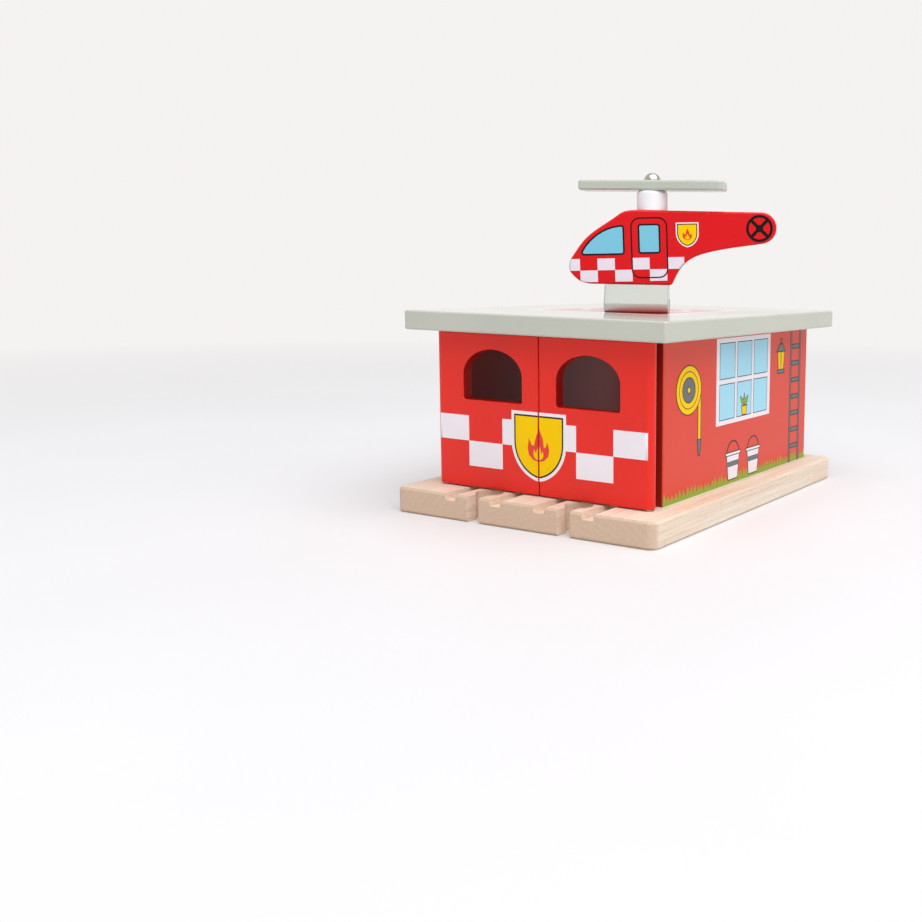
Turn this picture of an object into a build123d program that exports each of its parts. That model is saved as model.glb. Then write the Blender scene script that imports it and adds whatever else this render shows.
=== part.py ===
from build123d import *

import math
import os

# Toy fire station for wooden railways. Millimetres, +Z up, +Y towards the back of the shed.
# The origin is the centre of the base board's underside.

# Base board
base_width = 144.0
base_length = 189.0
base_thickness = 12.0
base_corner_radius = 4.5
base_edge_bevel = 1.0
base_side_margin = 12.8
base_back_margin = 9.0
porch_depth = 16.0

# The two lanes run through the shed: rail grooves, and a peg socket at each end
lane_spacing = 50.5
groove_spacing = 26.0
groove_width = 6.3
groove_depth = 3.0
socket_head_radius = 6.4
socket_neck_width = 7.0
socket_setback = 12.0

# Walls
wall_thickness = 6.0
wall_height = 74.0
wall_edge_bevel = 0.4

# The back wall is cut out as one wide portal for both lanes
back_jamb_width = 8.0
back_lintel_height = 12.0
back_corner_radius = 6.0

# Roof
roof_thickness = 9.0
roof_side_overhang = 13.0
roof_front_overhang = 8.3
roof_back_overhang = 6.2
roof_corner_radius = 1.6
roof_edge_bevel = 0.6

# Doors
door_thickness = 6.0
door_side_lap = 0.8
door_back_gap = 5.0
door_bottom_gap = 0.7
door_top_gap = 0.5
door_seam_gap = 0.6
door_edge_bevel = 0.4
window_width = 34.2
window_side_height = 11.7
window_arch_height = 12.2
window_seam_margin = 9.3
window_head_margin = 7.5
window_corner_radius = 1.2
window_rim_bevel = 0.4

# Door pins, pressed into the doors and turning in the roof and the base board
pin_radius = 1.5
pin_grip = 12.0
pin_reach = 5.0
pin_nose = 0.4
pin_end_gap = 0.4
pin_running_clearance = 0.08

# Brads, thin nails without a head, sunk a little below the surface
nail_radius = 0.9
nail_point_height = 2.0
nail_grip = 16.0
nail_sink = 0.4
wall_nail_margin = 20.0
roof_nail_front_margin = 31.0
roof_nail_back_margin = 36.0

# Clearance round anything that is pressed, glued or driven home
set_clearance = 0.04

# Helicopter body, sawn from a board; its mast axis stands over this place on the roof
heli_offset_x = 17.2
heli_offset_y = -13.1
heli_turn = 29.0
heli_nose_reach = 39.5
heli_tail_reach = 60.7
heli_height = 35.8
heli_thickness = 16.0
heli_edge_bevel = 0.7
heli_tail_radius = 7.5
heli_tail_slope = 9.0
heli_heel_radius = 1.5

# Side view of the body: across as shares of the nose or tail reach, up as shares of the height
belly_front_share = 0.71
nose_tip_height_share = 0.23
chin_shares = [(0.913, 0.071), (0.975, 0.142)]
brow_shares = [(0.942, 0.395), (0.82, 0.582), (0.632, 0.757), (0.433, 0.907)]
crown_front_share = 0.15
boom_shares = [(0.567, 0.494), (0.448, 0.447), (0.308, 0.349), (0.234, 0.226)]
heel_share = 0.165

# Landing skid, glued and dowelled under the body
skid_length = 31.0
skid_nose_offset = 6.8
skid_height = 13.5
skid_top_width = 16.0
skid_foot_width = 28.0
skid_foot_height = 4.4
skid_foot_upright = 0.8
skid_knee_radius = 1.4
skid_slot_width = 10.0
skid_slot_height = 6.0
skid_slot_radius = 1.6
skid_edge_bevel = 0.5
dowel_radius = 3.0
dowel_spacing = 16.0
dowel_grip = 8.0
dowel_floor = 2.5

# Mast, blade and the long screw that holds them
mast_radius = 7.5
mast_height = 9.4
mast_edge_bevel = 0.9
blade_length = 72.5
blade_width = 13.0
blade_thickness = 4.9
blade_corner_radius = 2.0
blade_edge_bevel = 0.8
blade_turn = 16.0
blade_play = 0.15
screw_shank_radius = 1.9
screw_head_radius = 4.1
screw_head_height = 3.7
screw_grip = 16.0
screw_point_height = 3.0
screw_cross_length = 3.6
screw_cross_width = 0.9
screw_cross_depth = 1.2

# Every cut runs this far past the face that it breaks
overrun = 2.0

# Places worked out from the sizes
base_front_y = -base_length / 2
door_front_y = base_front_y + porch_depth
hinge_y = door_front_y + door_thickness / 2
wall_front_y = door_front_y + door_thickness + door_back_gap
wall_back_y = base_length / 2 - base_back_margin
wall_length = wall_back_y - wall_front_y
back_wall_y = wall_back_y - wall_thickness / 2
wall_outer_x = base_width / 2 - base_side_margin
wall_inner_x = wall_outer_x - wall_thickness
wall_centre_x = wall_outer_x - wall_thickness / 2
wall_top = base_thickness + wall_height
roof_top = wall_top + roof_thickness
roof_front_y = door_front_y - roof_front_overhang
roof_back_y = wall_back_y + roof_back_overhang
roof_centre_y = (roof_front_y + roof_back_y) / 2
hinge_x = wall_outer_x + door_side_lap - door_thickness / 2
door_bottom = base_thickness + door_bottom_gap
door_top = wall_top - door_top_gap
belly_z = roof_top + skid_height
body_top = belly_z + heli_height
mast_top = body_top + mast_height
blade_bottom = mast_top + blade_play
screw_seat = blade_bottom + blade_thickness + blade_play
mast_place = Location((heli_offset_x, roof_centre_y + heli_offset_y, 0), (0, 0, heli_turn))
blade_place = Location((heli_offset_x, roof_centre_y + heli_offset_y, 0), (0, 0, blade_turn))


def slab(width, length, height, corner_radius, edge_bevel):
    """A board centred in plan on its underside, with rounded corners and sanded rims."""
    board = extrude(RectangleRounded(width, length, corner_radius), height)
    ends = board.faces().sort_by(Axis.Z)
    return chamfer(ends[0].edges() + ends[-1].edges(), edge_bevel)


def both_sides(piece):
    """A right-hand piece and its mirror image."""
    return [piece, mirror(piece, about=Plane.YZ)]


def pin(length):
    """A door pin that stands on z = 0 and whose upper end, the free one, is eased."""
    stock = extrude(Circle(pin_radius), length)
    return chamfer(stock.faces().sort_by(Axis.Z)[-1].edges(), pin_nose)


def hole(radius, depth):
    """The cut for a round hole whose mouth is at z = 0 and which runs down from there."""
    return Pos(0, 0, -depth) * extrude(Circle(radius), depth + overrun)


def nail(length):
    """A brad driven up from z = 0, whose chisel point is at this length."""
    bar = Pos(0, 0, nail_sink) * extrude(Circle(nail_radius), length - nail_sink)
    beside = 2 * nail_radius
    bevel = Polyline(
        (0, length),
        (0, length + overrun),
        (beside, length + overrun),
        (beside, length - 2 * nail_point_height),
        close=True,
    )
    for wedge in both_sides(extrude(Plane.XZ * make_face(bevel), beside, both=True)):
        bar -= wedge
    return bar


def nail_hole(length):
    """The hole that a brad of this length has pressed for itself."""
    depth = length + set_clearance
    return Pos(0, 0, -overrun) * extrude(Circle(nail_radius + set_clearance), overrun + depth)


# Where the nails stand, point up from the underside or point down from the roof
base_nail_length = base_thickness + nail_grip
roof_nail_length = roof_thickness + nail_grip
wall_nail_places = [
    Pos(wall_centre_x, y, 0) for y in (wall_front_y + wall_nail_margin, wall_back_y - wall_nail_margin)
]
roof_nail_places = [
    Location((wall_centre_x, y, roof_top), (180, 0, 0))
    for y in (wall_front_y + roof_nail_front_margin, wall_back_y - roof_nail_back_margin)
]
back_nail_x = wall_inner_x - back_jamb_width / 2
back_nail_places = [Pos(x, back_wall_y, 0) for x in (-back_nail_x, back_nail_x)]


def make_base_board():
    board = slab(base_width, base_length, base_thickness, base_corner_radius, base_edge_bevel)
    groove = extrude(Rectangle(groove_width, base_length + 2 * overrun), groove_depth + overrun)
    neck_length = socket_setback + overrun
    neck = Pos(0, -neck_length / 2, 0) * Rectangle(socket_neck_width, neck_length)
    socket = extrude(neck + Circle(socket_head_radius), base_thickness + 2 * overrun)
    for lane_x in (-lane_spacing / 2, lane_spacing / 2):
        for groove_x in (lane_x - groove_spacing / 2, lane_x + groove_spacing / 2):
            board -= Pos(groove_x, 0, base_thickness - groove_depth) * groove
        for turn in (0, 180):
            board -= Rot(0, 0, turn) * Pos(lane_x, base_front_y + socket_setback, -overrun) * socket
    pin_hole = hole(pin_radius + pin_running_clearance, pin_reach + pin_end_gap)
    for cut in both_sides(Pos(hinge_x, hinge_y, base_thickness) * pin_hole):
        board -= cut
    for place in wall_nail_places:
        for cut in both_sides(place * nail_hole(base_nail_length)):
            board -= cut
    for place in back_nail_places:
        board -= place * nail_hole(base_nail_length)
    return board


def make_right_wall():
    wall = Pos(wall_centre_x, wall_front_y + wall_length / 2, base_thickness + wall_height / 2) * Box(
        wall_thickness, wall_length, wall_height
    )
    wall = chamfer(wall.edges().filter_by(Axis.Z), wall_edge_bevel)
    for place in wall_nail_places:
        wall -= place * nail_hole(base_nail_length)
    for place in roof_nail_places:
        wall -= place * nail_hole(roof_nail_length)
    return wall


def make_back_wall():
    """A board between the side walls, with the portal cut up into it from below."""
    wall = Pos(0, back_wall_y, base_thickness + wall_height / 2) * Box(
        2 * wall_inner_x, wall_thickness, wall_height
    )
    width = 2 * (wall_inner_x - back_jamb_width)
    height = wall_height - back_lintel_height
    portal = Pos(0, (height - overrun) / 2) * Rectangle(width, height + overrun)
    portal = fillet(portal.vertices().group_by(Axis.Y)[-1], back_corner_radius)
    cut = extrude(Plane.XZ * portal, wall_thickness, both=True)
    wall -= Pos(0, back_wall_y, base_thickness) * cut
    for place in back_nail_places:
        wall -= place * nail_hole(base_nail_length)
    return wall


def make_roof():
    width = 2 * (wall_outer_x + roof_side_overhang)
    board = slab(width, roof_back_y - roof_front_y, roof_thickness, roof_corner_radius, roof_edge_bevel)
    board = Pos(0, roof_centre_y, wall_top) * board
    pin_hole = Rot(180, 0, 0) * hole(pin_radius + pin_running_clearance, pin_reach + pin_end_gap)
    for cut in both_sides(Pos(hinge_x, hinge_y, wall_top) * pin_hole):
        board -= cut
    for place in roof_nail_places:
        for cut in both_sides(place * nail_hole(roof_nail_length)):
            board -= cut
    return board


def make_right_door():
    """A board with a full round on its hinge edge and an arched window nearer the seam."""
    seam_x = door_seam_gap / 2
    height = door_top - door_bottom
    flat = Pos((seam_x + hinge_x) / 2, hinge_y) * Rectangle(hinge_x - seam_x, door_thickness)
    plan = flat + Pos(hinge_x, hinge_y) * Circle(door_thickness / 2)
    door = Pos(0, 0, door_bottom) * extrude(plan, height)
    seam_edges = door.edges().filter_by(Axis.Z).group_by(Axis.X)[0]
    door = chamfer(seam_edges, door_edge_bevel)
    ends = door.faces().sort_by(Axis.Z)
    door = chamfer(ends[0].edges() + ends[-1].edges(), door_edge_bevel)

    half = window_width / 2
    arch = make_face(
        Line((-half, 0), (half, 0))
        + Line((half, 0), (half, window_side_height))
        + EllipticalCenterArc((0, window_side_height), half, window_arch_height, arc_size=180)
        + Line((-half, window_side_height), (-half, 0))
    )
    arch = fillet(arch.vertices().group_by(Axis.Y)[0], window_corner_radius)
    window_x = seam_x + window_seam_margin + half
    window = extrude(Plane.XZ * arch, door_thickness, both=True)
    sill_z = door_top - window_head_margin - window_arch_height - window_side_height
    door -= Pos(window_x, hinge_y, sill_z) * window
    across = door.faces().filter_by(Axis.Y).sort_by(Axis.Y)
    rims = across[0].inner_wires()[0].edges() + across[-1].inner_wires()[0].edges()
    door = chamfer(rims, window_rim_bevel)

    pin_hole = hole(pin_radius + set_clearance, pin_grip)
    door -= Pos(hinge_x, hinge_y, door_top) * pin_hole
    door -= Pos(hinge_x, hinge_y, door_bottom) * Rot(180, 0, 0) * pin_hole
    return door


def make_right_upper_pin():
    return Pos(hinge_x, hinge_y, door_top - pin_grip) * pin(pin_grip + door_top_gap + pin_reach)


def make_right_lower_pin():
    turned_over = Rot(180, 0, 0) * pin(pin_grip + door_bottom_gap + pin_reach)
    return Pos(hinge_x, hinge_y, door_bottom + pin_grip) * turned_over


def make_body():
    """The body's side view, nose to the left, cut through a thick board."""
    tail_x = heli_tail_reach - heli_tail_radius
    tail_z = heli_height - heli_tail_radius
    slope = math.radians(heli_tail_slope)
    belly_front = (-heli_nose_reach * belly_front_share, 0)
    nose_tip = (-heli_nose_reach, heli_height * nose_tip_height_share)
    crown_front = (-heli_nose_reach * crown_front_share, heli_height)
    boom_end = (
        tail_x + heli_tail_radius * math.sin(slope),
        tail_z - heli_tail_radius * math.cos(slope),
    )
    heel = (heli_tail_reach * heel_share, 0)
    chin = [(-heli_nose_reach * across, heli_height * up) for across, up in chin_shares]
    brow = [(-heli_nose_reach * across, heli_height * up) for across, up in brow_shares]
    boom = [(heli_tail_reach * across, heli_height * up) for across, up in boom_shares]
    outline = [
        Line(heel, belly_front),
        Spline(belly_front, *chin, nose_tip, tangents=[(-1, 0), (0, 1)]),
        Spline(nose_tip, *brow, crown_front, tangents=[(0, 1), (1, 0)]),
        Line(crown_front, (tail_x, heli_height)),
        ThreePointArc((tail_x, heli_height), (heli_tail_reach, tail_z), boom_end),
        Spline(boom_end, *boom, heel, tangents=[(-math.cos(slope), -math.sin(slope)), (-1, -2)]),
    ]
    side = make_face(Curve() + outline)
    side = fillet(side.vertices().sort_by_distance(Vector(*heel))[0], heli_heel_radius)
    body = extrude(Plane.XZ * side, heli_thickness / 2, both=True)
    faces = body.faces().filter_by(Axis.Y)
    body = chamfer(faces[0].edges() + faces[-1].edges(), heli_edge_bevel)
    body = Pos(0, 0, belly_z) * body
    for x in dowel_x:
        body -= Pos(x, 0, belly_z) * Rot(180, 0, 0) * hole(dowel_radius + set_clearance, dowel_grip)
    body -= Pos(0, 0, body_top) * hole(screw_shank_radius + set_clearance, screw_grip + set_clearance)
    return mast_place * body


def make_skid():
    """The splayed block's end view, with its slot, run along the body."""
    end_view = make_face(
        Polyline(
            (-skid_top_width / 2, skid_height),
            (-skid_foot_width / 2, skid_foot_height),
            (-skid_foot_width / 2, 0),
            (skid_foot_width / 2, 0),
            (skid_foot_width / 2, skid_foot_height),
            (skid_top_width / 2, skid_height),
            close=True,
        )
    )
    end_view = fillet(end_view.vertices().group_by(Axis.Y)[0], skid_foot_height - skid_foot_upright)
    knees = [v for v in end_view.vertices() if math.isclose(v.Y, skid_foot_height)]
    end_view = fillet(knees, skid_knee_radius)
    slot = Rectangle(skid_slot_width, skid_slot_height + overrun)
    slot = Pos(0, (skid_slot_height - overrun) / 2) * slot
    slot = fillet(slot.vertices().group_by(Axis.Y)[-1], skid_slot_radius)
    block = extrude(Plane.YZ * (end_view - slot), skid_length / 2, both=True)
    ends = block.faces().sort_by(Axis.X)
    block = chamfer(ends[0].edges() + ends[-1].edges(), skid_edge_bevel)
    block = Pos(-skid_nose_offset, 0, roof_top) * block
    depth = skid_height - skid_slot_height - dowel_floor
    for x in dowel_x:
        block -= Pos(x, 0, belly_z) * hole(dowel_radius + set_clearance, depth)
    return mast_place * block


def make_dowel(x):
    depth = skid_height - skid_slot_height - dowel_floor
    return mast_place * Pos(x, 0, belly_z - depth) * extrude(Circle(dowel_radius), depth + dowel_grip)


def make_mast():
    mast = Pos(0, 0, body_top) * extrude(Circle(mast_radius), mast_height)
    mast = chamfer(mast.faces().sort_by(Axis.Z)[-1].edges(), mast_edge_bevel)
    mast -= Pos(0, 0, mast_top) * hole(screw_shank_radius + set_clearance, mast_height + overrun)
    return mast_place * mast


def make_blade():
    blade = slab(blade_length, blade_width, blade_thickness, blade_corner_radius, blade_edge_bevel)
    blade -= Pos(0, 0, blade_thickness) * hole(
        screw_shank_radius + pin_running_clearance, blade_thickness + overrun
    )
    return blade_place * Pos(0, 0, blade_bottom) * blade


def make_screw():
    """A domed head with a cross recess on a plain shank with a point."""
    tip = body_top - screw_grip
    dome_radius = (screw_head_radius**2 + screw_head_height**2) / (2 * screw_head_height)
    dome_z = screw_seat + screw_head_height - dome_radius
    mid_angle = math.asin(screw_head_radius / dome_radius) / 2
    mid = (dome_radius * math.sin(mid_angle), dome_z + dome_radius * math.cos(mid_angle))
    profile = [
        Line((0, tip), (screw_shank_radius, tip + screw_point_height)),
        Line((screw_shank_radius, tip + screw_point_height), (screw_shank_radius, screw_seat)),
        Line((screw_shank_radius, screw_seat), (screw_head_radius, screw_seat)),
        ThreePointArc((screw_head_radius, screw_seat), mid, (0, screw_seat + screw_head_height)),
        Line((0, screw_seat + screw_head_height), (0, tip)),
    ]
    screw = revolve(Plane.XZ * make_face(Curve() + profile), Axis.Z)
    bar = Box(screw_cross_length, screw_cross_width, 2 * screw_cross_depth)
    for angle in (0, 90):
        screw -= Pos(0, 0, screw_seat + screw_head_height) * Rot(0, 0, angle) * bar
    return mast_place * screw


dowel_x = (-skid_nose_offset - dowel_spacing / 2, -skid_nose_offset + dowel_spacing / 2)

right_wall, left_wall = both_sides(make_right_wall())
right_door, left_door = both_sides(make_right_door())
right_upper_pin, left_upper_pin = both_sides(make_right_upper_pin())
right_lower_pin, left_lower_pin = both_sides(make_right_lower_pin())
right_wall_nails, left_wall_nails = both_sides(
    Compound([place * nail(base_nail_length) for place in wall_nail_places])
)
right_roof_nails, left_roof_nails = both_sides(
    Compound([place * nail(roof_nail_length) for place in roof_nail_places])
)

nodes = {
    "base_board": make_base_board(),
    "left_wall": left_wall,
    "right_wall": right_wall,
    "back_wall": make_back_wall(),
    "roof_slab": make_roof(),
    "left_wall_nails": left_wall_nails,
    "right_wall_nails": right_wall_nails,
    "back_wall_nails": Compound([place * nail(base_nail_length) for place in back_nail_places]),
    "left_roof_nails": left_roof_nails,
    "right_roof_nails": right_roof_nails,
    "left_door": left_door,
    "left_door_upper_pin": left_upper_pin,
    "left_door_lower_pin": left_lower_pin,
    "right_door": right_door,
    "right_door_upper_pin": right_upper_pin,
    "right_door_lower_pin": right_lower_pin,
    "helicopter_body": make_body(),
    "landing_skid": make_skid(),
    "front_skid_dowel": make_dowel(dowel_x[0]),
    "rear_skid_dowel": make_dowel(dowel_x[1]),
    "rotor_mast": make_mast(),
    "rotor_screw": make_screw(),
    "rotor_blade": make_blade(),
}

os.makedirs("parts", exist_ok=True)
for name, solid in nodes.items():
    export_step(solid, f"parts/{name}.step")
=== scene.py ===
import math
import random

import bpy
from mathutils import Euler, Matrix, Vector


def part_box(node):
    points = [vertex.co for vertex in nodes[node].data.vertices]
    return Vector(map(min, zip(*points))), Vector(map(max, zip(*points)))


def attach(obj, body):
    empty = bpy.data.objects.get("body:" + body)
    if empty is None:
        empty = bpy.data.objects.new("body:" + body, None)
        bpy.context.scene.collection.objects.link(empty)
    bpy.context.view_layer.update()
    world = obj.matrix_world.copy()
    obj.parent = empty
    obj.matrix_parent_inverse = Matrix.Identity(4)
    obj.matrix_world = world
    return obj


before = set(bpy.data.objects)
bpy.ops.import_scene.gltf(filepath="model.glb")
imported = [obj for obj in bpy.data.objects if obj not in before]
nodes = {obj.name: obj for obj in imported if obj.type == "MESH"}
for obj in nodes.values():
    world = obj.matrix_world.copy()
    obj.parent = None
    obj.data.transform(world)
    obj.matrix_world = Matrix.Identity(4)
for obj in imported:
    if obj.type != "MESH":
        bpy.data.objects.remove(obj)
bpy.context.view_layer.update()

mm = 0.001


# The base board
# One plank of pale beech, planed and sanded but not varnished. Its grain runs from front to back,
# so the front and back ends show the darker end grain, and fine brown flecks lie along the rest.
beech_light = (0.87, 0.77, 0.65, 1)
beech_dark = (0.74, 0.55, 0.40, 1)
beech_fleck = (0.48, 0.30, 0.18, 1)
beech_end = (0.66, 0.48, 0.35, 1)
heart_shift = (-22 * mm, 0, 45 * mm)
ring_scale = 95
cloud_scale = 90
fibre_scale = 850
fleck_scale = 1900
end_speckle_scale = 2600
board_arris = 1.0 * mm
fibre_depth = 0.04 * mm


def add_node(tree, kind, inputs, **settings):
    """Adds a shader node whose inputs are plain values or the outputs of other nodes."""
    added = tree.nodes.new("ShaderNode" + kind)
    for name, value in settings.items():
        setattr(added, name, value)
    for name, value in inputs.items():
        if isinstance(value, bpy.types.NodeSocket):
            tree.links.new(value, added.inputs[name])
        else:
            added.inputs[name].default_value = value
    return added


def calculate(tree, operation, *terms):
    return add_node(tree, "Math", dict(enumerate(terms)), operation=operation).outputs[0]


def remap(tree, value, low, high, new_low=0.0, new_high=1.0):
    """Stretches a value's range from low and high to the new ends, and holds it between them."""
    inputs = {"Value": value, "From Min": low, "From Max": high, "To Min": new_low, "To Max": new_high}
    return add_node(tree, "MapRange", inputs).outputs["Result"]


def mix_colours(tree, share, first, second):
    """The first colour where the share is zero, the second where it is one: sockets 6 and 7 of Mix."""
    return add_node(tree, "Mix", {0: share, 6: first, 7: second}, data_type="RGBA").outputs[2]


def noise(tree, place, scale, detail=2.0):
    """Cloudy noise, with scale in features per metre."""
    return add_node(tree, "TexNoise", {"Vector": place, "Scale": scale, "Detail": detail}).outputs[0]


def stretch(tree, place, factors, start=(0, 0, 0)):
    return add_node(tree, "Mapping", {"Vector": place, "Scale": factors, "Location": start}).outputs[0]


def start_group(name, inputs, outputs):
    """Makes a node group and gives its tree, the sockets it is given and the sockets it gives out."""
    group = bpy.data.node_groups.new(name, "ShaderNodeTree")
    for label, kind, value in inputs:
        socket = group.interface.new_socket(label, in_out="INPUT", socket_type="NodeSocket" + kind)
        socket.default_value = value
    for label, kind in outputs:
        group.interface.new_socket(label, in_out="OUTPUT", socket_type="NodeSocket" + kind)
    given = group.nodes.new("NodeGroupInput").outputs
    out = group.nodes.new("NodeGroupOutput").inputs
    return group, given, out


def eased_normal(tree, radius):
    """The surface normal with its arrises rounded over."""
    return add_node(tree, "Bevel", {"Radius": radius}, samples=6).outputs["Normal"]


def tinted(tree, colour, shade):
    """A colour made a little darker or lighter by a shade round one."""
    return add_node(tree, "HueSaturation", {"Value": shade, "Color": colour}).outputs["Color"]


def soft_edge_normal(tree, radius, height, depth):
    """The eased normal with the small bumps of the finish on it."""
    inputs = {"Strength": 1.0, "Distance": depth, "Height": height, "Normal": eased_normal(tree, radius)}
    return add_node(tree, "Bump", inputs).outputs["Normal"]


def facing_along_y(tree):
    """How far each face looks along Y: one backwards, minus one forwards, zero sideways."""
    normal = add_node(tree, "TexCoord", {}).outputs["Normal"]
    return add_node(tree, "SeparateXYZ", {0: normal}).outputs["Y"]


def make_beech_group():
    """Growth rings round a heart below the board, fibres and flecks along Y, and darker end grain."""
    group, given, out = start_group(
        "beech_grain",
        [
            ("Light", "Color", beech_light),
            ("Dark", "Color", beech_dark),
            ("Fleck", "Color", beech_fleck),
            ("End", "Color", beech_end),
        ],
        [("Color", "Color"), ("Roughness", "Float"), ("Normal", "Vector")],
    )
    place = add_node(group, "TexCoord", {}).outputs["Object"]
    rings = add_node(
        group,
        "TexWave",
        {
            "Vector": stretch(group, place, (1, 0.12, 1), heart_shift),
            "Scale": ring_scale,
            "Distortion": 5.0,
            "Detail": 2.0,
            "Detail Scale": 0.35,
        },
        wave_type="RINGS",
        rings_direction="Y",
        wave_profile="SAW",
    ).outputs["Fac"]
    clouds = noise(group, stretch(group, place, (1, 0.08, 1)), cloud_scale, 2)
    fibre = noise(group, stretch(group, place, (1, 0.04, 1)), fibre_scale, 3)
    tone = calculate(group, "MULTIPLY_ADD", rings, 0.16, calculate(group, "MULTIPLY", clouds, 0.46))
    tone = calculate(group, "MULTIPLY_ADD", fibre, 0.45, tone)
    board = mix_colours(group, remap(group, tone, 0.40, 0.74), given["Light"], given["Dark"])
    dashes = noise(group, stretch(group, place, (1, 0.18, 1)), fleck_scale, 1)
    faint = remap(group, dashes, 0.56, 0.70, 0.0, 0.22)
    strong = remap(group, dashes, 0.72, 0.80, 0.0, 0.40)
    flecks = calculate(group, "ADD", faint, strong)
    board = mix_colours(group, flecks, board, given["Fleck"])
    speckle = noise(group, stretch(group, place, (1, 1, 0.35)), end_speckle_scale, 2)
    shade = remap(group, calculate(group, "MULTIPLY_ADD", rings, -0.14, speckle), 0.15, 0.65, 0.89, 1.09)
    end_face = tinted(group, given["End"], shade)
    end_grain = remap(group, calculate(group, "ABSOLUTE", facing_along_y(group)), 0.15, 0.6)
    group.links.new(mix_colours(group, end_grain, board, end_face), out["Color"])
    group.links.new(remap(group, fibre, 0.3, 0.7, 0.5, 0.66), out["Roughness"])
    height = calculate(group, "SUBTRACT", calculate(group, "MULTIPLY", fibre, 0.6), flecks)
    group.links.new(soft_edge_normal(group, board_arris, height, fibre_depth), out["Normal"])
    return group


def new_material(name, group=None, specular=0.5, **given):
    """A material whose shader takes its colour, roughness and normal from a group with these inputs."""
    material = bpy.data.materials.new(name)
    material.use_nodes = True
    tree = material.node_tree
    shader = tree.nodes["Principled BSDF"]
    shader.inputs["Specular IOR Level"].default_value = specular
    if group:
        finish = tree.nodes.new("ShaderNodeGroup")
        finish.node_tree = group
        for label, value in given.items():
            finish.inputs[label.replace("_", " ").title()].default_value = value
        for label, socket in (("Color", "Base Color"), ("Roughness", "Roughness"), ("Normal", "Normal")):
            tree.links.new(finish.outputs[label], shader.inputs[socket])
    return material


def finish_node(name, material):
    """Gives a CAD node this material all over."""
    mesh = nodes[name].data
    mesh.materials.clear()
    mesh.materials.append(material)


beech_group = make_beech_group()
beech = new_material("beech", beech_group, specular=0.35)
finish_node("base_board", beech)


# The walls
# Three fibreboards, glued and nailed up through the base board, the back one cut out as a portal.
# Outside they are sprayed satin red; inside and on the front ends the red is deeper, which is painted shade,
# and duller.
wall_red = (0.74, 0.036, 0.006, 1)
worn_red = (0.80, 0.10, 0.06, 1)
# The deeper inside red is painted shade, for the dim light inside the shed and in the narrow gap behind the
# doors.
inside_painted_shade_red = (0.28, 0.012, 0.004, 1)
satin_dullness = 0.30
inside_dullness = 0.5
inside_reach = 20 * mm
rub_scale = 310
shade_scale = 26
grit_scale = 1500
speck_scale = 620
sheen_scale = 60
peel_scale = 420
peel_depth = 0.0008 * mm
wall_arris = 0.6 * mm


def make_paint_group():
    """A sprayed coat: faint clouds and orange peel, a few specks, and thin paint along the arrises."""
    group, given, out = start_group(
        "paint_film",
        [
            ("Paint", "Color", wall_red),
            ("Thin", "Color", worn_red),
            ("Wear", "Float", 0.5),
            ("Specks", "Float", 0.03),
            ("Dullness", "Float", satin_dullness),
            ("Arris", "Float", wall_arris),
        ],
        [("Color", "Color"), ("Roughness", "Float"), ("Normal", "Vector")],
    )
    place = add_node(group, "TexCoord", {}).outputs["Object"]
    eased = eased_normal(group, given["Arris"])
    flat = add_node(group, "NewGeometry", {}).outputs["Normal"]
    facing = add_node(group, "VectorMath", {0: eased, 1: flat}, operation="DOT_PRODUCT").outputs["Value"]
    arris = remap(group, facing, 0.985, 0.86)
    rubbed = remap(group, noise(group, place, rub_scale, 3), 0.44, 0.62)
    thin = calculate(group, "MULTIPLY", calculate(group, "MULTIPLY", arris, rubbed), given["Wear"])
    clouds = remap(group, noise(group, place, shade_scale, 2), 0.0, 1.0, 0.93, 1.07)
    grit = remap(group, noise(group, place, grit_scale, 1), 0.25, 0.75, 0.985, 1.015)
    specks = remap(group, noise(group, place, speck_scale, 0), 0.77, 0.82)
    specks = calculate(group, "MULTIPLY_ADD", specks, calculate(group, "MULTIPLY", given["Specks"], -1), 1)
    shade = calculate(group, "MULTIPLY", calculate(group, "MULTIPLY", clouds, grit), specks)
    full = tinted(group, given["Paint"], shade)
    group.links.new(mix_colours(group, thin, full, given["Thin"]), out["Color"])
    satin = remap(group, noise(group, place, sheen_scale, 1), 0.0, 1.0, 0.94, 1.14)
    group.links.new(calculate(group, "MULTIPLY", satin, given["Dullness"]), out["Roughness"])
    peel = noise(group, place, peel_scale, 1)
    group.links.new(soft_edge_normal(group, given["Arris"], peel, peel_depth), out["Normal"])
    return group


def looking_at(tree, centre, directions, reach):
    """One on the faces that look at a centre from beyond this reach, in these directions, else zero."""
    where = add_node(tree, "TexCoord", {}).outputs
    away = add_node(tree, "VectorMath", {0: where["Object"], 1: centre}, operation="SUBTRACT").outputs[0]
    away = add_node(tree, "VectorMath", {0: away, 1: directions}, operation="MULTIPLY").outputs[0]
    facing = add_node(tree, "VectorMath", {0: away, 1: where["Normal"]}, operation="DOT_PRODUCT")
    return remap(tree, facing.outputs["Value"], -reach, -1.5 * reach)


def paint_shade_over(material, share, coat, dullness):
    """Gives a share of the faces a deeper red, as painted shade, and a duller finish."""
    tree = material.node_tree
    shader = tree.nodes["Principled BSDF"]
    colour = shader.inputs["Base Color"]
    roughness = shader.inputs["Roughness"]
    tree.links.new(mix_colours(tree, share, colour.links[0].from_socket, coat), colour)
    dull = calculate(tree, "MULTIPLY", share, dullness)
    tree.links.new(calculate(tree, "MAXIMUM", roughness.links[0].from_socket, dull), roughness)


paint_group = make_paint_group()
wall_paint = new_material(
    "wall_paint", paint_group, paint=wall_red, thin=worn_red, wear=0.5, dullness=satin_dullness
)
tree = wall_paint.node_tree
# Painted shade: the inside faces and the front ends, which lie in shade, get the deeper red.
inside = looking_at(tree, (0, 0, 0), (1, 1, 0), inside_reach)
painted_shade_front_ends = remap(tree, facing_along_y(tree), -0.7, -0.9)
paint_shade_over(wall_paint, calculate(tree, "MAXIMUM", inside, painted_shade_front_ends), inside_painted_shade_red, inside_dullness)
for wall in ("left_wall", "right_wall", "back_wall"):
    finish_node(wall, wall_paint)


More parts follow.
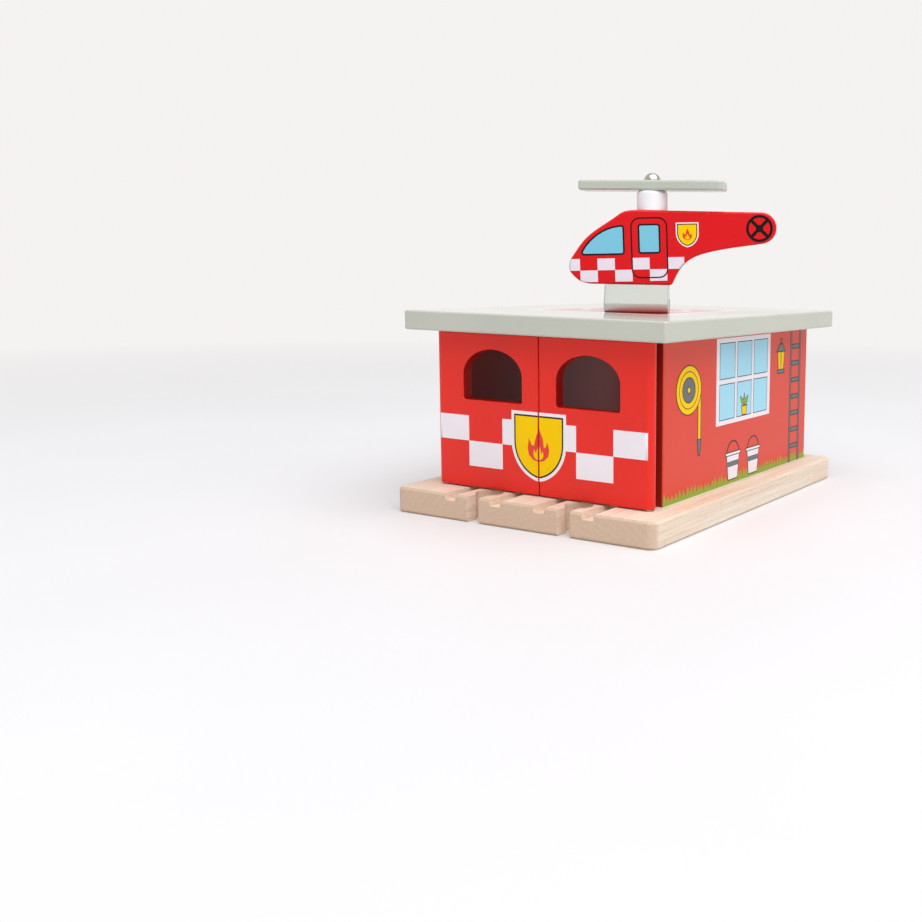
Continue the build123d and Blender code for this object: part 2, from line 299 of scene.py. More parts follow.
# The wall nails
# Plain steel brads driven up through the base board into the walls; only their flat ends show,
# sunk a little in the board's underside.
steel_grey = (0.56, 0.55, 0.54, 1)
mark_scale = 2600
stain_scale = 400
nail_arris = 0.1 * mm
drawing_mark_depth = 0.004 * mm


def make_steel_group():
    """Drawn wire: fine marks along Z, and a few duller stains."""
    group, given, out = start_group(
        "drawn_steel",
        [("Tint", "Color", steel_grey), ("Dullness", "Float", 0.3)],
        [("Color", "Color"), ("Roughness", "Float"), ("Normal", "Vector")],
    )
    place = add_node(group, "TexCoord", {}).outputs["Object"]
    marks = noise(group, stretch(group, place, (1, 1, 0.06)), mark_scale, 2)
    shade = remap(group, marks, 0.3, 0.7, 0.86, 1.08)
    group.links.new(tinted(group, given["Tint"], shade), out["Color"])
    stained = remap(group, noise(group, place, stain_scale, 2), 0.35, 0.7, 0.0, 0.14)
    group.links.new(calculate(group, "ADD", stained, given["Dullness"]), out["Roughness"])
    group.links.new(soft_edge_normal(group, nail_arris, marks, drawing_mark_depth), out["Normal"])
    return group


def new_metal(name, tint, dullness):
    metal = new_material(name, steel_group, tint=tint, dullness=dullness)
    metal.node_tree.nodes["Principled BSDF"].inputs["Metallic"].default_value = 1.0
    return metal


steel_group = make_steel_group()
steel = new_metal("plain_steel", steel_grey, dullness=0.32)
for nails in ("left_wall_nails", "right_wall_nails", "back_wall_nails"):
    finish_node(nails, steel)


# The print on the side walls
# Flat inks laid over the red coat of both side walls with the same stencil: a sash window with a plant
# on its sill, a ladder, grass, a hose reel, two buckets and a lamp. Each coat of ink stands a hair
# proud of the paint. Places along the stencil count from the right wall's front end.
ink_coat = 0.04 * mm
ink_white = (0.90, 0.85, 0.90, 1)
ink_black = (0.010, 0.009, 0.010, 1)
ink_yellow = (0.98, 0.62, 0.001, 1)
ink_sky = (0.372, 0.745, 0.92, 1)
ink_grass = (0.27, 0.40, 0.02, 1)
ink_slate = (0.115, 0.13, 0.13, 1)
window_from_front = 48.0
window_sill_height = 30.0
window_print_width = 58.2
window_print_height = 41.9
pane_side_border = 3.1
pane_border = 2.2
pane_bar = 2.2
ladder_from_front = 131.2
ladder_width = 13.6
rail_width = 2.0
rung_height = 2.7
first_rung_height = 8.8
rung_spacing = 9.15
grass_height = 5.4
blade_of_grass_width = 3.3
reel_centre = (22, 50)
reel_radius = 11.5
hose_inset = 1.6
hose_half_width = 1.5
nozzle_tip_half_width = 1.0
nozzle_top_half_width = 2.1
bucket_places = ((66, 1.6), (88, 1.2))
bucket_width = 14
bucket_height = 13
bucket_lip = 0.9
bucket_lip_rise = 1.1
bucket_lip_corner = 0.6
handle_width = 0.7
lamp_place = (119.5, 52)
lamp_glass_height = 10
plant_place = (77.3, 32.6)
plant_pot_height = 5
hair_line = 0.3
thin_line = 0.4
plain_line = 0.45
bold_line = 0.5


def new_ink(name, colour, specular=0.5, dullness=satin_dullness):
    return new_material(
        name, paint_group, specular, paint=colour, thin=colour, wear=0, specks=0, dullness=dullness, arris=0
    )


white = new_ink("white_ink", ink_white)
black = new_ink("black_ink", ink_black, specular=0.3)
yellow = new_ink("yellow_ink", ink_yellow, specular=0.08)
sky = new_ink("sky_ink", ink_sky)
grass_green = new_ink("grass_ink", ink_grass)
slate = new_ink("slate_ink", ink_slate)


def rectangle(left, low, right, high):
    return [(left, low), (right, low), (right, high), (left, high)]


def taper(middle, low, low_half, high, high_half):
    """An upright shape with a level foot and top, each so wide to either side of its middle."""
    foot = [(middle - low_half, low), (middle + low_half, low)]
    return foot + [(middle + high_half, high), (middle - high_half, high)]


def arc(centre, radius, start, end, steps):
    """Points along an arc, from one angle to the other, in degrees."""
    angles = [math.radians(start + (end - start) * step / steps) for step in range(steps + 1)]
    return [(centre[0] + radius * math.cos(angle), centre[1] + radius * math.sin(angle)) for angle in angles]


def circle(centre, radius, steps=48):
    return arc(centre, radius, 0, 360, steps)[:-1]


def rounded(outline, radius, steps=6):
    """Eases each corner of an outline with an arc of this radius, or of what its sides allow."""
    curve = []
    for before, corner, after in zip(outline[-1:] + outline[:-1], outline, outline[1:] + outline[:1]):
        corner = Vector(corner)
        back, ahead = Vector(before) - corner, Vector(after) - corner
        half = back.angle(ahead) / 2
        if half > math.radians(80):
            curve.append(tuple(corner))
            continue
        setback = min(radius / math.tan(half), back.length / 2, ahead.length / 2)
        middle = corner + (back.normalized() + ahead.normalized()).normalized() * setback / math.cos(half)
        start = corner + back.normalized() * setback - middle
        end = corner + ahead.normalized() * setback - middle
        first = math.degrees(math.atan2(start.y, start.x))
        curve += arc(middle, start.length, first, first - math.degrees(start.angle_signed(end)), steps)
    return curve


def pick(piece):
    """Selects one piece alone and makes it the active one."""
    bpy.ops.object.select_all(action="DESELECT")
    piece.select_set(True)
    bpy.context.view_layer.objects.active = piece


def apply_modifier(piece, kind, **settings):
    bpy.context.view_layer.objects.active = piece
    bpy.ops.object.modifier_add(type=kind)
    modifier = piece.modifiers[-1]
    for name, value in settings.items():
        setattr(modifier, name, value)
    bpy.ops.object.modifier_apply(modifier=modifier.name)


def draw(name, outline, inks, borders=(), coats=1, depth=0):
    """Lays ink in the plane y = 0, facing -Y, so many coats thick, or as deep as a depth in mm. The
    outline, in mm, runs anticlockwise seen from the front. Each border is filled with its own ink;
    with as many borders as inks the middle is bare."""
    bpy.ops.object.select_all(action="DESELECT")
    bpy.ops.mesh.primitive_circle_add(vertices=len(outline), radius=1, fill_type="NGON")
    drawn = bpy.context.object
    drawn.name = name
    for vertex, (across, up) in zip(drawn.data.vertices, outline):
        vertex.co = (across * mm, 0, up * mm)
    for ink in inks:
        drawn.data.materials.append(ink)
    bpy.ops.object.mode_set(mode="EDIT")
    bpy.ops.mesh.select_all(action="SELECT")
    for number in range(len(inks)):
        drawn.active_material_index = number
        bpy.ops.object.material_slot_assign()
        if number < len(borders):
            bpy.ops.mesh.inset(thickness=borders[number] * mm, depth=0)
    if len(borders) == len(inks):
        bpy.ops.mesh.delete(type="FACE")
    bpy.ops.object.mode_set(mode="OBJECT")
    apply_modifier(drawn, "SOLIDIFY", thickness=depth * mm or coats * ink_coat, offset=1)
    return drawn


def join(name, pieces):
    bpy.ops.object.select_all(action="DESELECT")
    for piece in pieces:
        piece.select_set(True)
    bpy.context.view_layer.objects.active = pieces[0]
    bpy.ops.object.join()
    joined = bpy.context.object
    joined.name = name
    return joined


def set_in_place(piece, location, turn=(0, 0, 0)):
    """Turns a piece about the origin, in degrees, moves it, and puts both into its mesh."""
    pick(piece)
    piece.rotation_euler = [math.radians(angle) for angle in turn]
    piece.location = location
    bpy.ops.object.transform_apply(location=True, rotation=True, scale=True)
    return piece


def draw_sash_window(left, low):
    outer = rectangle(left, low, left + window_print_width, low + window_print_height)
    pieces = [draw("frame", outer, [white])]
    pane_width = (window_print_width - 2 * pane_side_border - 2 * pane_bar) / 3
    pane_height = (window_print_height - 2 * pane_border - pane_bar) / 2
    for column in range(3):
        for row in range(2):
            x = left + pane_side_border + column * (pane_width + pane_bar)
            z = low + pane_border + row * (pane_height + pane_bar)
            outline = rectangle(x, z, x + pane_width, z + pane_height)
            pieces.append(draw("pane", outline, [black, sky], borders=[thin_line], coats=1.5))
    return pieces


def draw_ladder(left, height):
    right = left + ladder_width
    pieces = []
    for x in (left, right - rail_width):
        rail = rectangle(x, 0, x + rail_width, height)
        pieces.append(draw("rail", rail, [black, slate], borders=[thin_line], coats=2))
    z = first_rung_height
    while z + rung_height < height:
        rung = rectangle(left + rail_width, z - rung_height / 2, right - rail_width, z + rung_height / 2)
        pieces.append(draw("rung", rung, [black, slate], borders=[bold_line], coats=1.5))
        z += rung_spacing
    return pieces


def draw_grass(length):
    """A green strip with a ragged top of pointed blades."""
    dice = random.Random(7)
    outline = [(0, 0), (length, 0)]
    blades = round(length / blade_of_grass_width)
    for blade in range(blades, 0, -1):
        tip = dice.uniform(0.75, 1.2) * grass_height
        root = dice.uniform(0.18, 0.36) * grass_height
        outline.append((blade * length / blades, root))
        outline.append(((blade - 0.5 + dice.uniform(-0.2, 0.2)) * length / blades, tip))
    outline.append((0, 0.3 * grass_height))
    return [draw("grass", outline, [grass_green])]


def draw_hose_reel(centre, radius):
    """A round drum of yellow hose, and its loose end hanging to a nozzle."""
    x, z = centre
    hose = 0.2 * radius
    inks = [black, yellow, black, yellow, black, slate]
    rings = [bold_line, hose, thin_line, hose, bold_line]
    tail = x + radius - hose_inset
    drop = rectangle(tail - hose_half_width, z - 2.1 * radius, tail + hose_half_width, z)
    nozzle = taper(
        tail, z - 2.75 * radius, nozzle_tip_half_width, z - 2.05 * radius, nozzle_top_half_width
    )
    return [
        draw("coil", circle(centre, radius), inks, borders=rings, coats=2),
        draw("hub", circle(centre, 0.14 * radius, steps=24), [black, yellow], borders=[thin_line], coats=3),
        draw("hanging_hose", drop, [black, yellow], borders=[plain_line], coats=1.5),
        draw("nozzle", nozzle, [black, slate], borders=[plain_line], coats=2),
    ]


def draw_bucket(middle, low, width, height):
    """A white pail with a slate band and a thin wire handle."""
    rim = width / 2
    top = low + height
    wire = rim - hair_line
    pail = taper(middle, low, 0.36 * width, top, rim)
    handle = arc((middle, top), wire, 0, 180, steps=18)
    handle += arc((middle, top), wire - handle_width, 180, 0, steps=18)
    band = taper(middle, low + 0.52 * height, 0.44 * width, low + 0.72 * height, 0.465 * width)
    edge = rim + bucket_lip
    lip = rectangle(middle - edge, top - bucket_lip, middle + edge, top + bucket_lip_rise)
    return [
        draw("handle", handle, [black], coats=1.5),
        draw("pail", pail, [black, white], borders=[bold_line], coats=2),
        draw("band", band, [slate], coats=2.5),
        draw("lip", rounded(lip, bucket_lip_corner), [black, white], borders=[plain_line], coats=3),
    ]


def draw_lamp(middle, low, height):
    """A wall lantern: yellow glass of this height between a slate foot and cap, and a ring on top."""
    top = low + height
    glass = taper(middle, low, 0.32 * height, top, 0.46 * height)
    bar = rectangle(middle - 0.025 * height, low, middle + 0.025 * height, top)
    cap = taper(middle, top - 0.04 * height, 0.6 * height, top + 0.4 * height, 0.2 * height)
    foot = rectangle(middle - 0.44 * height, low - 0.2 * height, middle + 0.44 * height, low + 0.04 * height)
    ring = circle((middle, top + 0.54 * height), 0.17 * height, steps=20)
    return [
        draw("glass", glass, [black, yellow], borders=[bold_line], coats=1.5),
        draw("glazing_bar", bar, [black], coats=2),
        draw("cap", cap, [black, slate], borders=[bold_line], coats=2),
        draw("foot", foot, [black, slate], borders=[plain_line], coats=2),
        draw("ring", ring, [black], borders=[0.06 * height], coats=1.5),
    ]


def draw_plant(middle, low, height):
    """A small pot of this height with three leaves, for the window sill."""
    stem = Vector((middle, low + 0.8 * height))
    pieces = []
    for number, lean in enumerate((-34, 0, 34)):
        turn = math.radians(90 + lean)
        tip = stem + Vector((1.6 * math.cos(turn), 1.48 * math.sin(turn))) * height
        side = Vector((0.3 * math.sin(turn), -0.3 * math.cos(turn))) * height
        halfway = (stem + tip) / 2
        leaf = [stem, halfway + side, tip, halfway - side]
        pieces.append(draw("leaf", leaf, [black, grass_green], borders=[hair_line], coats=2 + 0.2 * number))
    pot = taper(middle, low, 0.48 * height, low + height, 0.66 * height)
    pieces.append(draw("pot", pot, [black, yellow], borders=[plain_line], coats=3))
    return pieces


wall_low, wall_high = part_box("right_wall")
wall_length = (wall_high.y - wall_low.y) / mm
wall_height = (wall_high.z - wall_low.z) / mm
for wall, turn in (("right", 90), ("left", -90)):
    pieces = draw_grass(wall_length)
    pieces += draw_sash_window(window_from_front, window_sill_height)
    pieces += draw_ladder(ladder_from_front, wall_height)
    pieces += draw_hose_reel(reel_centre, reel_radius)
    for middle, low in bucket_places:
        pieces += draw_bucket(middle, low, bucket_width, bucket_height)
    pieces += draw_lamp(*lamp_place, lamp_glass_height)
    pieces += draw_plant(*plant_place, plant_pot_height)
    wall_print = join(wall + "_wall_print", pieces)
    set_in_place(wall_print, (-wall_length / 2 * mm, 0, 0))
    outer_x = wall_high.x if wall == "right" else -wall_high.x
    set_in_place(wall_print, (outer_x, (wall_low.y + wall_high.y) / 2, wall_low.z), (0, 0, turn))
    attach(wall_print, "shed")


# The doors
# Two boards that swing on steel pins, each with an arched window and a rounded hinge edge. Both faces are
# sprayed a brighter red than the walls; the cut edges of the windows are a deeper, duller red, which is
# painted shade.
door_red = (0.82, 0.014, 0.003, 1)
# The deeper red on the cut edges of the windows is painted shade.
cut_edge_painted_shade_red = (0.36, 0.003, 0.002, 1)
cut_edge_dullness = 0.38
window_middle = 26.7 * mm
window_middle_height = 65.0 * mm
window_reach = 4.0 * mm
for side, across in (("left", -1), ("right", 1)):
    door_paint = new_material(
        side + "_door_paint",
        paint_group,
        specular=0.4,
        paint=door_red,
        thin=worn_red,
        wear=0.7,
        dullness=satin_dullness,
    )
    window_centre = (across * window_middle, 0, window_middle_height)
    tree = door_paint.node_tree
    # Painted shade: the window's cut edges, which lie in shade, get the deeper red.
    cut_edges = looking_at(tree, window_centre, (1, 0, 1), window_reach)
    square_on = remap(tree, calculate(tree, "ABSOLUTE", facing_along_y(tree)), 0.5, 0.3)
    cut_edges = calculate(tree, "MULTIPLY", cut_edges, square_on)
    paint_shade_over(door_paint, cut_edges, cut_edge_painted_shade_red, cut_edge_dullness)
    finish_node(side + "_door", door_paint)
    finish_node(side + "_door_upper_pin", steel)
    finish_node(side + "_door_lower_pin", steel)


# The print on the doors
# A white check in two rows that runs across both doors, and over the seam a plain shield in yellow
# with a black line and a white rim. The doors cut both in two, so each half moves with its door.
check_middle_height = 21.9
check_row_height = 11.9
check_columns = (1.5, 20.75, 40.6, 58.2)
check_block_depth = 1.2
shield_half_width = 15.3
shield_top_height = 38.3
shield_tip_height = 6.4
shield_rim = 1.5
shield_line = 0.8
shield_shoulder_share = 0.44
print_from_seam = 0.15 * mm
flame_red = (0.80, 0.035, 0.012, 1)
flame_ink = new_ink("flame_ink", flame_red)


def shield_outline(middle, tip, top, half_width):
    """A heater shield: straight top and shoulders, and two arcs that meet in the tip."""
    shoulder = top - shield_shoulder_share * (top - tip)
    drop = shoulder - tip
    radius = (half_width ** 2 + drop ** 2) / (2 * half_width)
    sweep = math.degrees(math.asin(drop / radius))
    right = arc((middle + half_width - radius, shoulder), radius, -sweep, 0, steps=12)
    left = arc((middle - half_width + radius, shoulder), radius, 180, 180 + sweep, steps=12)
    return right + [(middle + half_width, top), (middle - half_width, top)] + left[:-1]


def flame_outline(middle, low, height):
    """A flame with three tongues over a round foot, in shares of its height."""
    shares = [
        (0.20, 0.02), (0.36, 0.16), (0.40, 0.36), (0.33, 0.60), (0.27, 0.44), (0.20, 0.42),
        (0.17, 0.66), (0.02, 1.0), (-0.10, 0.72), (-0.17, 0.46), (-0.26, 0.47), (-0.36, 0.68),
        (-0.41, 0.38), (-0.36, 0.16), (-0.20, 0.02), (0.0, -0.03),
    ]
    return [(middle + across * height, low + up * height) for across, up in shares]


def draw_shield(middle, tip, top, half_width, rim, line):
    """A shield in white, black and yellow, with its flame."""
    height = top - tip
    shield = shield_outline(middle, tip, top, half_width)
    flame = flame_outline(middle, tip + 0.3 * height, 0.47 * height)
    ember = flame_outline(middle, tip + 0.32 * height, 0.22 * height)
    return [
        draw("shield", shield, [white, black, yellow], borders=[rim, line], coats=2),
        draw("flame", flame, [flame_ink], coats=3),
        draw("ember", ember, [yellow], coats=4),
    ]


def cut_at_middle(piece, keep):
    """Keeps the left or right half of a print that spans the seam, and closes its cut edge."""
    pick(piece)
    edge = (keep * (abs(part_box("right_door")[0].x) + print_from_seam), 0, 0)
    bpy.ops.object.mode_set(mode="EDIT")
    bpy.ops.mesh.select_all(action="SELECT")
    bpy.ops.mesh.bisect(plane_co=edge, plane_no=(keep, 0, 0), use_fill=True, clear_inner=True)
    bpy.ops.object.mode_set(mode="OBJECT")


def board_skin(node, coats):
    """A closed copy of a CAD board, grown by some coats of ink."""
    pick(nodes[node])
    bpy.ops.object.duplicate()
    skin = bpy.context.object
    bpy.ops.mesh.customdata_custom_splitnormals_clear()
    bpy.ops.object.mode_set(mode="EDIT")
    bpy.ops.mesh.select_all(action="SELECT")
    bpy.ops.mesh.remove_doubles(threshold=0.001 * mm)
    bpy.ops.object.mode_set(mode="OBJECT")
    apply_modifier(skin, "DISPLACE", strength=coats * ink_coat, mid_level=0)
    return skin


def print_over_edges(block, skin, ink):
    """Cuts a block down to the skin, so that the ink follows the board round its edges."""
    apply_modifier(block, "BOOLEAN", operation="INTERSECT", solver="EXACT", object=skin)
    block.data.materials.clear()
    block.data.materials.append(ink)


for side, name in ((-1, "left"), (1, "right")):
    door_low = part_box(name + "_door")[0]
    skin = board_skin(name + "_door", coats=1)
    cells = []
    for column in range(3):
        inner, outer = check_columns[column], check_columns[column + 1]
        low = check_middle_height - (column == 1) * check_row_height
        left, right = sorted((side * inner, side * outer))
        cell = rectangle(left, low, right, low + check_row_height)
        cells.append(draw("cell", cell, [white], depth=check_block_depth))
    check = join(name + "_door_check", cells)
    set_in_place(check, (0, door_low.y + check_block_depth / 2 * mm, door_low.z))
    print_over_edges(check, skin, white)
    bpy.data.objects.remove(skin)
    shield = join(
        name + "_door_shield",
        draw_shield(0, shield_tip_height, shield_top_height, shield_half_width, shield_rim, shield_line),
    )
    cut_at_middle(shield, side)
    set_in_place(shield, (0, door_low.y, door_low.z))
    for piece in (check, shield):
        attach(piece, name + "_door")


# The roof
# One thick board in a light grey satin coat, nailed down into the side walls. The nail heads are coloured a
# dull dark grey and show as four small marks.
roof_grey = (0.55, 0.565, 0.49, 1)
thin_grey = (0.66, 0.66, 0.60, 1)
nail_mark_grey = (0.20, 0.205, 0.19, 1)


def new_grey_paint(name, colour, dullness):
    return new_material(name, paint_group, paint=colour, thin=thin_grey, wear=0.4, dullness=dullness)


grey_paint = new_grey_paint("grey_paint", roof_grey, dullness=0.13)
nail_mark = new_material(
    "nail_mark", paint_group, paint=nail_mark_grey, thin=nail_mark_grey, wear=0, dullness=0.6
)
finish_node("roof_slab", grey_paint)
finish_node("left_roof_nails", nail_mark)
finish_node("right_roof_nails", nail_mark)


# The landing pad on the roof
# Printed in two inks on the middle of the roof: a red square with a white border, and on it a white
# ring round a white letter, as on any helipad, that reads from the front.
pad_size = 80.0
pad_border = 5.0
pad_ring_radius = 28.6
pad_ring_width = 4.2
letter_height = 29.0
letter_width = 22.0
letter_stroke = 5.4
pad_dullness = 0.10
pad_red = (0.72, 0.018, 0.012, 1)
red = new_ink("pad_red_ink", pad_red, dullness=pad_dullness)
glossy_white = new_ink("pad_white_ink", ink_white, dullness=pad_dullness)


def letter_outline(width, height, stroke):
    """An H centred on the origin: its lower half, and the same again turned half round."""
    side, foot, bar = width / 2, -height / 2, -stroke / 2
    inner = side - stroke
    lower = [(-side, foot), (-inner, foot), (-inner, bar), (inner, bar), (inner, foot), (side, foot)]
    return lower + [(-x, -z) for x, z in lower]


roof_low, roof_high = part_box("roof_slab")
half_pad = pad_size / 2
square = rectangle(-half_pad, -half_pad, half_pad, half_pad)
ring = circle((0, 0), pad_ring_radius, steps=96)
letter = letter_outline(letter_width, letter_height, letter_stroke)
pieces = [
    draw("square", square, [glossy_white, red], borders=[pad_border]),
    draw("ring", ring, [glossy_white], borders=[pad_ring_width], coats=2),
    draw("letter", letter, [glossy_white], coats=2),
]
pad = join("landing_pad_print", pieces)
set_in_place(pad, (0, (roof_low.y + roof_high.y) / 2, roof_high.z), (-90, 0, 0))
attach(pad, "shed")


# The landing skid and its dowels
# A splayed block with a slot along its underside, glued and dowelled under the helicopter's body. Its grey
# is the roof's paint made darker and cooler, which is painted shade. The dowels are bare beech and don't
# show.
# The skid's grey is the roof's paint made darker and cooler: painted shade.
skid_painted_shade_grey = (0.465, 0.495, 0.45, 1)
finish_node("landing_skid", new_grey_paint("skid_paint", skid_painted_shade_grey, dullness=0.06))
finish_node("front_skid_dowel", beech)
finish_node("rear_skid_dowel", beech)


# The helicopter's body
# Sawn from a thick board to the side view of a helicopter, sanded round its rims, and painted in
# a red that is a little deeper and glossier than the doors'.
body_red = (0.72, 0.006, 0.010, 1)
thin_body_red = (0.78, 0.09, 0.07, 1)
body_paint = new_material(
    "body_paint", paint_group, specular=0.2, paint=body_red, thin=thin_body_red, wear=0.6, dullness=0.2
)
finish_node("helicopter_body", body_paint)


# The print on the helicopter's sides
# The same picture on both sides, nose first, laid on a little crooked: a white check, a windscreen
# and a door with its own window in pale blue, a small shield, and a black ring for the tail rotor.
body_turn = 29.0
print_tilt = 2.2
body_check_nose = -42.0
body_check_first_edge = -33.85
body_check_column = 8.4
body_check_columns = 6
body_check_middle = 7.5
body_check_row = 5.62
windscreen_back = -12.05
windscreen_low = 14.7
windscreen_top = 29.2
windscreen_nose = -34.4
windscreen_pull = (-26.6, 28.4)
glass_corner = 1.5
door_sides = (-9.0, 3.2, 8.8, 32.4)
door_corner = 4.4
door_glass_sides = (-5.5, 15.0, 5.3, 29.3)
badge_middle = 18.4
badge_tip = 17.7
badge_top = 29.6
badge_half_width = 5.5
badge_rim = 0.6
badge_line = 0.5
tail_rotor_centre = (53.4, 26.0)
tail_rotor_radius = 6.5
tail_rotor_rim = 1.25
tail_rotor_hub = 1.8
spoke_half_width = 0.8
spoke_inset = 1.0
line_width = 0.82
door_line_width = 0.64
helicopter_sky = (0.20, 0.55, 0.73, 1)
# The white on the helicopter is the same white ink made darker: painted shade.
helicopter_painted_shade_white = (0.82, 0.75, 0.85, 1)
body_glass = new_ink("body_glass_ink", helicopter_sky, specular=0.2)
body_white = new_ink("body_white_ink", helicopter_painted_shade_white, specular=0.2)
body_black = new_ink("body_black_ink", ink_black, specular=0.08)


def windscreen_outline():
    """Straight below and behind, and curved in front from the roof line down to the nose."""
    nose = (windscreen_nose, windscreen_low)
    roof = (windscreen_back, windscreen_top)
    outline = [nose, (windscreen_back, windscreen_low), roof]
    for share in (0.2, 0.3, 0.4, 0.5, 0.6, 0.7, 0.8):
        before = Vector(roof).lerp(Vector(windscreen_pull), share)
        after = Vector(windscreen_pull).lerp(Vector(nose), share)
        outline.append(tuple(before.lerp(after, share)))
    return outline


def draw_tail_rotor(centre, radius):
    """A ring with four spokes and a hub."""
    pieces = [
        draw("ring", circle(centre, radius), [body_black], borders=[tail_rotor_rim], coats=2),
        draw("hub", circle(centre, tail_rotor_hub, steps=24), [body_black], coats=2.5),
    ]
    outline = rectangle(spoke_inset, -spoke_half_width, radius - spoke_inset, spoke_half_width)
    for angle in (45, 135, 225, 315):
        spoke = draw("spoke", outline, [body_black], coats=1.5)
        set_in_place(spoke, (0, 0, 0), (0, angle, 0))
        pieces.append(set_in_place(spoke, (centre[0] * mm, 0, centre[1] * mm)))
    return pieces


def mirror_to_left(piece):
    """Turns a print for the right side into one for the left, with its faces outwards again."""
    pick(piece)
    piece.scale.y = -1
    bpy.ops.object.transform_apply(location=False, rotation=False, scale=True)
    bpy.ops.object.mode_set(mode="EDIT")
    bpy.ops.mesh.select_all(action="SELECT")
    bpy.ops.mesh.normals_make_consistent(inside=False)
    bpy.ops.object.mode_set(mode="OBJECT")


mast_low, mast_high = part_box("rotor_mast")
mast_centre = (mast_low + mast_high) / 2
belly_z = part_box("helicopter_body")[0].z
body_half_thickness = 8.0 * mm
body_skin = board_skin("helicopter_body", coats=1)
check_edges = [body_check_nose]
for column in range(body_check_columns + 1):
    check_edges.append(body_check_first_edge + column * body_check_column)
for side in ("right", "left"):
    cells = []
    for column, (front, back) in enumerate(zip(check_edges, check_edges[1:])):
        low = body_check_middle - (column % 2) * body_check_row
        cell = rectangle(front, low, back, low + body_check_row)
        cells.append(draw("cell", cell, [body_white], depth=check_block_depth))
    check = join(side + "_body_check", cells)
    windscreen = rounded(windscreen_outline(), glass_corner)
    door = rounded(rectangle(*door_sides), door_corner)
    door_glass = rounded(rectangle(*door_glass_sides), glass_corner)
    pieces = [
        draw("windscreen", windscreen, [body_black, body_glass], borders=[line_width], coats=2),
        draw("door_line", door, [body_black], borders=[door_line_width], coats=2),
        draw("door_window", door_glass, [body_black, body_glass], borders=[line_width], coats=2),
    ]
    pieces += draw_shield(badge_middle, badge_tip, badge_top, badge_half_width, badge_rim, badge_line)
    pieces += draw_tail_rotor(tail_rotor_centre, tail_rotor_radius)
    drawing = join(side + "_body_print", pieces)
    for piece, raised in ((check, check_block_depth / 2 * mm), (drawing, 0)):
        set_in_place(piece, (0, 0, 0), (0, -print_tilt, 0))
        set_in_place(piece, (0, raised - body_half_thickness, belly_z))
        if side == "left":
            mirror_to_left(piece)
        set_in_place(piece, (mast_centre.x, mast_centre.y, 0), (0, 0, body_turn))
        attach(piece, "helicopter")
    print_over_edges(check, body_skin, body_white)
bpy.data.objects.remove(body_skin)


# The mast, the rotor blade and their screw
# A length of round dowel in white paint, one flat bar in a cool grey, and a long chromed screw
# with a domed head that holds both to the body and lets the blade spin.
mast_white = (0.91, 0.905, 0.93, 1)
blade_grey = (0.505, 0.545, 0.475, 1)
# The chrome's dark olive tint is a painted reflection of darker surroundings than the white room.
painted_reflection_chrome_tint = (0.46, 0.43, 0.37, 1)
white_paint = new_material(
    "white_paint", paint_group, paint=mast_white, thin=mast_white, wear=0, specks=0
)
finish_node("rotor_mast", white_paint)
finish_node("rotor_blade", new_grey_paint("blade_paint", blade_grey, dullness=0.13))
finish_node("rotor_screw", new_metal("chrome", painted_reflection_chrome_tint, dullness=0.08))


# The floor and the light
# A wide pale floor that fades into a white room, which also shows in the paint and the chrome, and
# one very large soft lamp overhead, to the right and a little in front.
floor_colour = (0.775, 0.77, 0.785, 1)
room_colour = (0.913, 0.892, 0.886, 1)
room_light_colour = (0.90, 0.90, 0.91, 1)
room_light = 0.43
fade_start = 0.35
fade_end = 1.2
floor_size = 12
floor_cloud_scale = 6
soft_box_place = (0.80, -0.50, 2.00)
soft_box_target = (0, 0, 0.07)
soft_box_size = 3.0
soft_box_power = 71.0


def seen_directly(tree):
    """One for what the camera sees, straight or in gloss and glass, and zero for the light cast."""
    ray = add_node(tree, "LightPath", {}).outputs
    seen = calculate(tree, "MAXIMUM", ray["Is Camera Ray"], ray["Is Glossy Ray"])
    return calculate(tree, "MAXIMUM", seen, ray["Is Transmission Ray"])


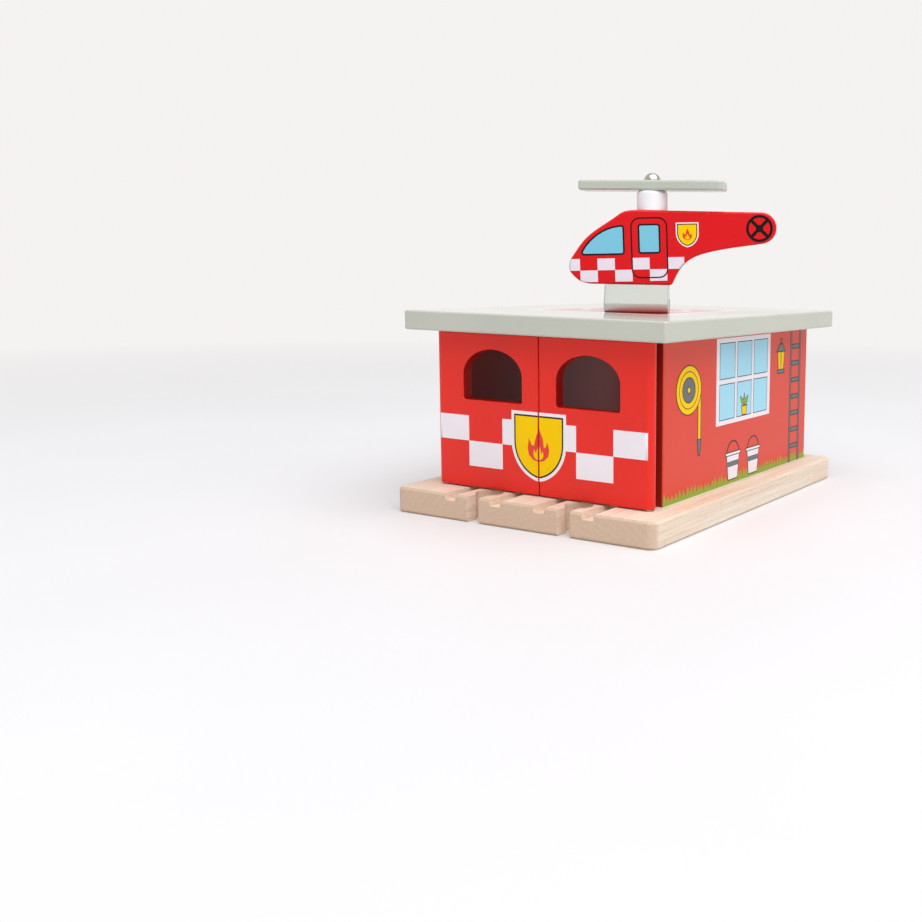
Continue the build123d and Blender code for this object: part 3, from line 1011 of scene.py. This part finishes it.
def make_floor():
    bpy.ops.object.select_all(action="DESELECT")
    bpy.ops.mesh.primitive_plane_add(size=floor_size, location=(0, 0, 0))
    floor = bpy.context.object
    floor.name = "floor"
    bpy.ops.object.mode_set(mode="EDIT")
    bpy.ops.mesh.subdivide(number_cuts=3)
    bpy.ops.object.mode_set(mode="OBJECT")
    material = new_material("floor_paint", specular=0.2)
    tree = material.node_tree
    shader = tree.nodes["Principled BSDF"]
    place = add_node(tree, "TexCoord", {}).outputs["Object"]
    shade = remap(tree, noise(tree, place, floor_cloud_scale, 4), 0.3, 0.7, 0.985, 1.015)
    tree.links.new(tinted(tree, floor_colour, shade), shader.inputs["Base Color"])
    shader.inputs["Roughness"].default_value = 0.6
    distance = add_node(tree, "VectorMath", {0: place}, operation="LENGTH").outputs["Value"]
    fade = calculate(tree, "MULTIPLY", remap(tree, distance, fade_start, fade_end), seen_directly(tree))
    backdrop = add_node(tree, "Emission", {"Color": room_colour}).outputs[0]
    mixed = add_node(tree, "MixShader", {0: fade, 1: shader.outputs[0], 2: backdrop}).outputs[0]
    tree.links.new(mixed, tree.nodes["Material Output"].inputs["Surface"])
    floor.data.materials.append(material)


def light_room():
    world = bpy.data.worlds.new("room")
    bpy.context.scene.world = world
    world.use_nodes = True
    tree = world.node_tree
    backdrop = tree.nodes["Background"]
    seen = seen_directly(tree)
    tree.links.new(mix_colours(tree, seen, room_light_colour, room_colour), backdrop.inputs["Color"])
    tree.links.new(remap(tree, seen, 0, 1, room_light, 1.0), backdrop.inputs["Strength"])


def hang_soft_box():
    """One square lamp that faces the shed."""
    bpy.ops.object.light_add(type="AREA", location=soft_box_place)
    lamp = bpy.context.object
    lamp.name = "top_lamp"
    lamp.data.size = soft_box_size
    lamp.data.energy = soft_box_power
    aim = Vector(soft_box_target) - Vector(soft_box_place)
    lamp.rotation_euler = aim.to_track_quat("-Z", "Y").to_euler()


make_floor()
light_room()
hang_soft_box()


# The camera
# It stands low before the front right corner, from where both the doors and the right wall show, and
# looks a little down. The photograph is a part of a wider picture, so the lens is shifted.
camera_place = (300.2 * mm, -462.6 * mm, 116.9 * mm)
camera_turn = 26.8
camera_dip = 7.4
camera_roll = 1.06
image_width = 922
focal_pixels = 1068.5
centre_across = 748.3
centre_down = 408.0
camera_data = bpy.data.cameras.new("camera")
camera = bpy.data.objects.new("camera", camera_data)
bpy.context.scene.collection.objects.link(camera)
camera.location = camera_place
turn = Euler((0, 0, math.radians(camera_turn))).to_matrix()
tip = Euler((math.radians(90 - camera_dip), 0, 0)).to_matrix()
roll = Euler((0, 0, math.radians(camera_roll))).to_matrix()
camera.rotation_euler = (turn @ tip @ roll).to_euler()
camera_data.sensor_width = 36
camera_data.lens = focal_pixels * camera_data.sensor_width / image_width
camera_data.shift_x = (image_width / 2 - centre_across) / image_width
camera_data.shift_y = (centre_down - image_width / 2) / image_width
camera_data.clip_start = 0.01
bpy.context.scene.camera = camera
bpy.context.scene.view_settings.view_transform = "Standard"
